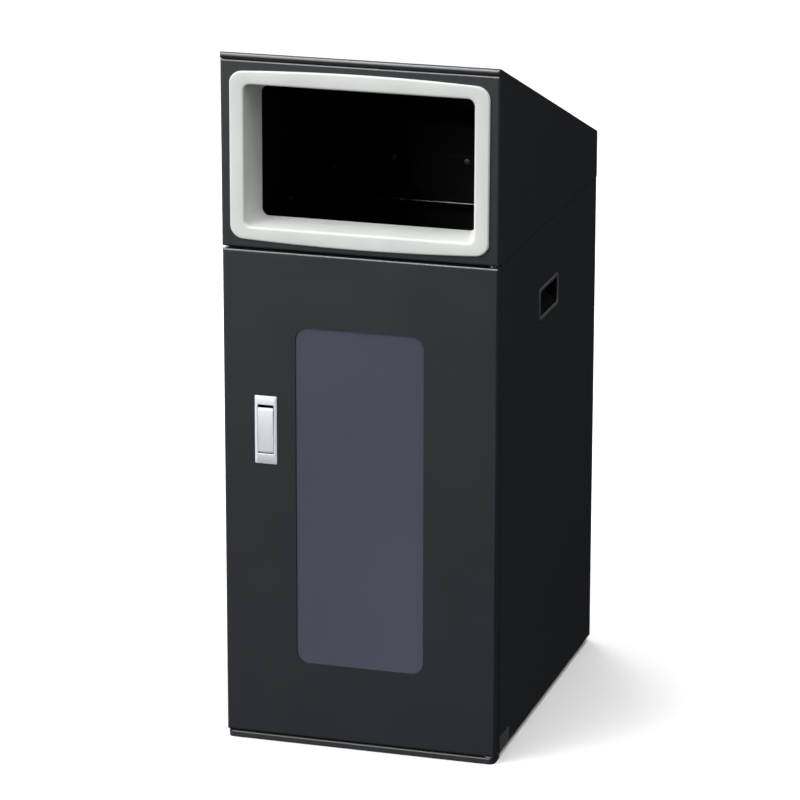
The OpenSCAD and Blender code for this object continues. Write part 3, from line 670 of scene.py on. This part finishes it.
def latch_plate(bm):
    """Cast plate with a bevelled rim and a chamfered mouth."""
    low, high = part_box("latch_plate")
    paddle_low, paddle_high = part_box("latch_paddle")
    middle = (low + high) / 2
    side_gap = 0.5 * MM
    finger_gap = 3.6 * MM
    mouth_low = paddle_low.z - side_gap
    mouth_high = paddle_high.z + finger_gap
    mouth_w = paddle_high.x - paddle_low.x + 2 * side_gap
    rim, edge = 1 * MM, 0.35 * MM

    def outer(inset, y):
        loop = rounded_loop(high.x - low.x - 2 * inset, high.z - low.z - 2 * inset, 1.2 * MM)
        return [(middle.x + x, y, middle.z + z) for x, z in loop]

    def mouth(grow, y):
        loop = rounded_loop(mouth_w + 2 * grow, mouth_high - mouth_low + 2 * grow, 0.8 * MM + grow)
        return [(middle.x + x, y, (mouth_low + mouth_high) / 2 + z) for x, z in loop]

    loops = [outer(0, high.y), outer(0, low.y + 1.0 * MM)]
    loops += [outer(inset, y) for inset, y in quarter((0, low.y + 0.9 * MM), (rim, low.y + 0.25 * MM))]
    loops += [outer(rim + 0.3 * MM, low.y + 0.2 * MM), outer(rim + 0.6 * MM, low.y)]
    loops += [mouth(edge, low.y), mouth(0, low.y + edge), mouth(0, high.y)]
    add_loft(bm, loops, closed=True)


def paddle_profile():
    """Side outline (y, z) of the paddle about its pin: round foot, straight face, chamfered lip."""
    low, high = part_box("latch_paddle")
    pin = paddle_pin()
    foot_r = pin.z - low.z
    rise = high.z - pin.z
    thick = 2.2 * MM
    front_lift = 1.2 * MM
    face = -foot_r - front_lift
    back = face + thick
    points = []
    for k in range(20):
        a = math.radians(180 + 15 * k)
        points.append((foot_r * math.cos(a), foot_r * math.sin(a)))
    points.append((back + front_lift + 0.3 * MM, foot_r + 1 * MM))
    points += [(back, rise - 0.5 * MM), (back - 0.5 * MM, rise)]
    points += [(face + 1.1 * MM, rise), (face + 0.35 * MM, rise - 2.6 * MM), (face, rise - 3.6 * MM)]
    points.append((-foot_r - front_lift * 0.4, rise * 0.45))
    return [(pin.y + y, pin.z + z) for y, z in points]


def latch_paddle():
    """Pull paddle with rounded edges, cut out for the pin and the spring."""
    low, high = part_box("latch_paddle")
    pin = paddle_pin()

    def solid(bm):
        outline = paddle_profile()
        loops = []
        round_r = 0.45 * MM
        for x, inset in ((low.x, round_r), (low.x + round_r, 0), (high.x - round_r, 0), (high.x, round_r)):
            loops.append([(x, *shrunk(outline, k, inset)) for k in range(len(outline))])
        add_loft(bm, loops, closed=False)

    def space(bm):
        """The pin's bore, and a slot round the spring that is open at the back."""
        reach, bore = 15 * MM, 1.3 * MM
        slot_w, slot_r = 3.5 * MM, 2.6 * MM
        front, back = -2 * MM, 6 * MM
        add_lathe(bm, [(-reach, bore), (reach, bore)], pin, X, 24)
        add_block(bm, pin + Vector((-slot_w, front, -slot_r)), pin + Vector((slot_w, back, slot_r)))

    name = "latch_paddle_cast"
    mesh = cut(loose(solid), loose(space))
    mesh.name = name
    finished(bpy.data.objects.new(name, mesh), "latch_paddle")


def shrunk(outline, k, inset):
    """Point k of a closed outline, moved inwards by inset along the mean of its two edges' normals."""
    before, here, after = (Vector(outline[(k + d) % len(outline)]) for d in (-1, 0, 1))
    a = (here - before).normalized()
    b = (after - here).normalized()
    normal = Vector((-(a.y + b.y), a.x + b.x))
    if normal.length < 1e-6:
        return tuple(here)
    return tuple(here + normal.normalized() * inset)


def paddle_spring(bm):
    """Torsion spring: a coil round the pin, a leg up behind the paddle and a leg to the housing."""
    low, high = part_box("paddle_spring")
    pin = paddle_pin()
    wire = 0.28 * MM
    coil_r = 1.9 * MM - wire
    leg_steps, turns, turn_steps = 4, 6, 16
    steps = turn_steps * turns
    start, end = low.x + wire, high.x - wire
    leg = high.z - wire - pin.z
    points = [Vector((start, pin.y + coil_r, high.z - wire))]
    for k in range(1, leg_steps + 1):
        points.append(Vector((start, pin.y + coil_r, pin.z + leg * (leg_steps - k) / leg_steps)))
    for k in range(1, steps + 1):
        a = -2 * math.pi * k / turn_steps
        x = start + (end - start) * k / steps
        points.append(Vector((x, pin.y + coil_r * math.cos(a), pin.z + coil_r * math.sin(a))))
    points.append(Vector((end, pin.y + coil_r + 1 * MM, pin.z - wire / 2)))
    points.append(Vector((end, high.y, pin.z - wire / 2)))
    add_tube(bm, points, wire)


# ---------------------------------------------------------------- grips and small parts


def hand_grip(node):
    """Moulded pocket: a rolled rim, a flat top and a floor that slopes up to the back.

    Its inside takes the second material, near black: painted shade in the pocket."""
    low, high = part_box(node)
    outwards = 1 if low.x > 0 else -1
    rim_x = high.x if outwards > 0 else low.x
    deep_x = low.x if outwards > 0 else high.x
    proud = 1.2 * MM
    rim_edge = 5 * MM
    wall = 2 * MM
    rim_w = high.y - low.y
    rim_h = high.z - low.z
    middle_z = (low.z + high.z) / 2
    pocket_w = rim_w - 2 * rim_edge
    pocket_top = rim_h / 2 - rim_edge
    skin_x = rim_x - outwards * proud
    depth = abs(deep_x - skin_x) - wall
    front_d, end_h = 2 * MM, 6 * MM

    def rim(inset, up):
        loop = rounded_loop(rim_w - 2 * inset, rim_h - 2 * inset, max(4 * MM - inset * 0.2, MM))
        return [(skin_x + outwards * up, y, middle_z + z) for y, z in loop]

    def pocket(grow, d):
        """Loop of the pocket at depth d, with its floor on the slope."""
        share = max(0.0, (d - front_d) / (depth - front_d))
        floor = -pocket_top + (2 * pocket_top - end_h) * min(1.0, share)
        height = pocket_top - floor
        loop = rounded_loop(pocket_w + 2 * grow, height + 2 * grow, min(2.5 * MM, height * 0.4) + grow)
        return [(skin_x - outwards * d, y, middle_z + (pocket_top + floor) / 2 + z) for y, z in loop]

    def make(bm):
        outside = [rim(0, 0)]
        outside += [rim(inset, up) for inset, up in quarter((0, proud * 0.3), (0.9 * MM, proud))]
        outside.append(rim(rim_edge - 1.6 * MM, proud))
        mouth_edge = ((0.9 * MM, proud * 0.85), (0.25 * MM, proud * 0.4), (0, 0))
        outside += [pocket(grow, -up) for grow, up in mouth_edge]
        steps = [front_d] + [front_d + (depth - front_d) * k / 6 for k in range(1, 7)]
        inside = [pocket(0, d) for d in steps]
        back = [pocket(wall, d) for d in [depth + wall] + steps[::-1] + [0]]
        rings = [[bm.verts.new(p) for p in loop] for loop in outside + inside + back]
        mouth = len(outside) - 1
        inner_end = mouth + len(inside)
        # faces inside the pocket take material 1, the painted shade
        for k, (a, b) in enumerate(zip(rings, rings[1:] + rings[:1])):
            if k == inner_end:
                bm.faces.new(a).material_index = 1
                bm.faces.new(b)
                continue
            for i in range(len(a)):
                j = (i + 1) % len(a)
                face = bm.faces.new((a[i], a[j], b[j], b[i]))
                face.material_index = int(mouth <= k < inner_end)
    return make


def door_buffers(bm):
    """Rubber stops with a domed face."""
    for low, high in islands("door_buffers"):
        middle = (low + high) / 2
        radius = (high.x - low.x) / 2
        depth = high.y - low.y
        profile = [(0, radius), (depth * 0.35, radius)]
        profile += [(depth * (0.35 + 0.65 * math.sin(a)), radius * (0.55 + 0.45 * math.cos(a)))
                    for a in (math.pi / 2 * k / 6 for k in range(1, 7))]
        add_lathe(bm, profile, (middle.x, low.y, middle.z), Y, 32)


def blank_label(bm):
    """Film with round corners, a hair thick."""
    low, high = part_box("blank_label")
    middle = (low + high) / 2
    corner, inset = 2 * MM, 0.2 * MM
    full = rounded_loop(high.y - low.y, high.z - low.z, corner)
    soft = rounded_loop(high.y - low.y - 2 * inset, high.z - low.z - 2 * inset, corner - inset)
    loops = [[(x, middle.y + y, middle.z + z) for y, z in points]
             for x, points in ((low.x, full), (low.x + 0.25 * MM, full), (high.x, soft))]
    add_loft(bm, loops, closed=False)


def magnet_case(bm):
    """Plastic case of the magnet with rounded edges, and its two pole strips."""
    low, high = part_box("magnet_catch")
    pole_inset, pole_reach, pole_h = 5 * MM, 2.7 * MM, 2.5 * MM
    add_block(bm, (low.x, low.y + pole_reach, low.z), high, 1.2 * MM)
    for z in (-4 * MM, 1.5 * MM):
        base = (low.z + high.z) / 2 + z
        pole_low = (low.x + pole_inset, low.y, base)
        pole_high = (high.x - pole_inset, low.y + pole_reach + MM, base + pole_h)
        add_block(bm, pole_low, pole_high, 0.2 * MM, 1)


def strike(bm):
    """Flat steel plate with softened edges."""
    low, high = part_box("strike_plate")
    add_block(bm, low, high, 0.3 * MM, 2)


def rear_glides(bm):
    """Moulded feet with a rounded tread and a counterbore for the screw."""
    bore, sink_r, sink = 1.8 * MM, 4 * MM, 4 * MM
    tread = 2 * MM
    for low, high in islands("rear_glides"):
        middle = (low + high) / 2
        radius = (high.x - low.x) / 2
        height = high.z - low.z
        profile = [(sink, bore), (sink, sink_r), (0.3 * MM, sink_r), (0, sink_r + 0.3 * MM)]
        profile += [(tread * (1 - math.cos(a)), radius - tread * (1 - math.sin(a)))
                    for a in (math.pi / 2 * k / 5 for k in range(6))]
        profile += [(height - 0.5 * MM, radius - 0.9 * MM), (height, radius - 1.4 * MM), (height, bore)]
        add_lathe(bm, profile, (middle.x, middle.y, low.z), Z, 48, closed=True)


# ---------------------------------------------------------------- stage


FLOOR_RADIUS = 40


def make_stage():
    """Round pale floor, kept out of reflections so that the dark paint stays clean."""
    bm = bmesh.new()
    bmesh.ops.create_circle(bm, cap_ends=True, segments=96, radius=FLOOR_RADIUS)
    mesh = bpy.data.meshes.new("floor")
    bm.to_mesh(mesh)
    bm.free()
    mesh.materials.append(pale_floor())
    floor = bpy.data.objects.new("floor", mesh)
    floor.visible_glossy = False
    floor.visible_diffuse = False
    scene.collection.objects.link(floor)


def sun(name, azimuth, elevation, strength, soft, glossy=True):
    """Distant light, soft degrees across. Azimuth 0 shines on the front, and positive is from the right."""
    data = bpy.data.lights.new(name, "SUN")
    data.energy = strength
    data.angle = math.radians(soft)
    light = bpy.data.objects.new(name, data)
    a, e = math.radians(azimuth), math.radians(elevation)
    to_light = Vector((math.sin(a) * math.cos(e), -math.cos(a) * math.cos(e), math.sin(e)))
    light.rotation_mode = "QUATERNION"
    light.rotation_quaternion = to_light.to_track_quat("Z", "Y")
    light.visible_glossy = glossy
    scene.collection.objects.link(light)


def softbox(name, at, aim, size, power, gloss_only=False):
    """Rectangular light at one point that faces another. A gloss-only one makes just a highlight."""
    data = bpy.data.lights.new(name, "AREA")
    data.shape = "RECTANGLE"
    data.size, data.size_y = size
    data.energy = power
    light = bpy.data.objects.new(name, data)
    light.location = at
    light.rotation_mode = "QUATERNION"
    light.rotation_quaternion = (Vector(at) - Vector(aim)).to_track_quat("Z", "Y")
    light.visible_diffuse = not gloss_only
    scene.collection.objects.link(light)


def make_lights():
    """Soft light from above and from the left, with fills behind and at the right.

    The gloss-only boxes make the highlights along the hood's nose and on the bag ring."""
    sun("top", 0, 88, 3.7, 70, glossy=False)
    sun("left", -50, 20, 2.1, 60)
    softbox("key", (-2.6, -3.2, 1.3), (0, -0.24, 0.45), (1.4, 1.4), 65)
    softbox("glint", (-0.4, -1.1, 2.4), (0, -0.24, 0.87), (1.5, 1.0), 95, gloss_only=True)
    softbox("spark", (-0.5, -1.9, 1.45), (0, -0.24, 0.7), (0.35, 0.35), 11, gloss_only=True)
    softbox("back_fill", (-1.6, 2.4, 1.7), (0, 0.2, 0.5), (1.4, 1.4), 40)
    softbox("side_fill", (2.6, -0.6, 1.5), (0.1, 0, 0.5), (1.6, 1.6), 25)


def make_world():
    """A white surround for the camera that lights the object only faintly."""
    world = bpy.data.worlds.new("surround")
    world.use_nodes = True
    nodes, links = world.node_tree.nodes, world.node_tree.links
    nodes.clear()
    seen = nodes.new("ShaderNodeBackground")
    seen.inputs["Color"].default_value = (1, 1, 1, 1)
    lit = nodes.new("ShaderNodeBackground")
    lit.inputs["Strength"].default_value = 0.012
    mix = nodes.new("ShaderNodeMixShader")
    path = nodes.new("ShaderNodeLightPath")
    output = nodes.new("ShaderNodeOutputWorld")
    links.new(path.outputs["Is Camera Ray"], mix.inputs["Fac"])
    links.new(lit.outputs["Background"], mix.inputs[1])
    links.new(seen.outputs["Background"], mix.inputs[2])
    links.new(mix.outputs["Shader"], output.inputs["Surface"])
    scene.world = world


# ---------------------------------------------------------------- building

make_camera()
make_stage()
make_lights()
make_world()
scene.view_settings.view_transform = "Standard"

for name, node in frame["nodes"].items():  # the CAD's plain colours give way to the materials
    node.data.materials.clear()
    node.data.materials.append(MATERIALS[SLOTS[name]])

piece("collar_moulding", collar, "opening_collar")
piece("hood_bolt_set", hood_bolts, "hood_bolts")
piece("hood_nut_set", hood_nuts, "hood_nuts")
piece("back_rivet_set", domed_rivets, "back_rivets")
for screw_node in SCREW_AXES:
    piece(screw_node + "_set", screws(screw_node), screw_node)
piece("hinge_pin_set", hinge_pins, "hinge_pins")
piece("hinge_washer_turned", sleeves("hinge_washer", 0.3 * MM), "hinge_washer")
piece("door_bush_set", sleeves("door_bushes", 0.4 * MM), "door_bushes")
piece("bracket_rivet_set", bracket_rivets, "bracket_rivets")
piece("paddle_rod", paddle_rod, "paddle_pin")
piece("latch_plate_cast", latch_plate, "latch_plate")
latch_paddle()
piece("paddle_spring_wire", paddle_spring, "paddle_spring")
for grip_node in ("hand_grip_left", "hand_grip_right"):
    grip = piece(grip_node + "_moulding", hand_grip(grip_node), grip_node)
    # the pocket's inside takes the painted shade
    grip.data.materials.append(MATERIALS["grip_pocket_painted_shade"])
piece("door_buffer_set", door_buffers, "door_buffers")
piece("label_film", blank_label, "blank_label")
piece("magnet_case", magnet_case, "magnet_catch")
piece("strike_steel", strike, "strike_plate")
piece("rear_glide_set", rear_glides, "rear_glides")
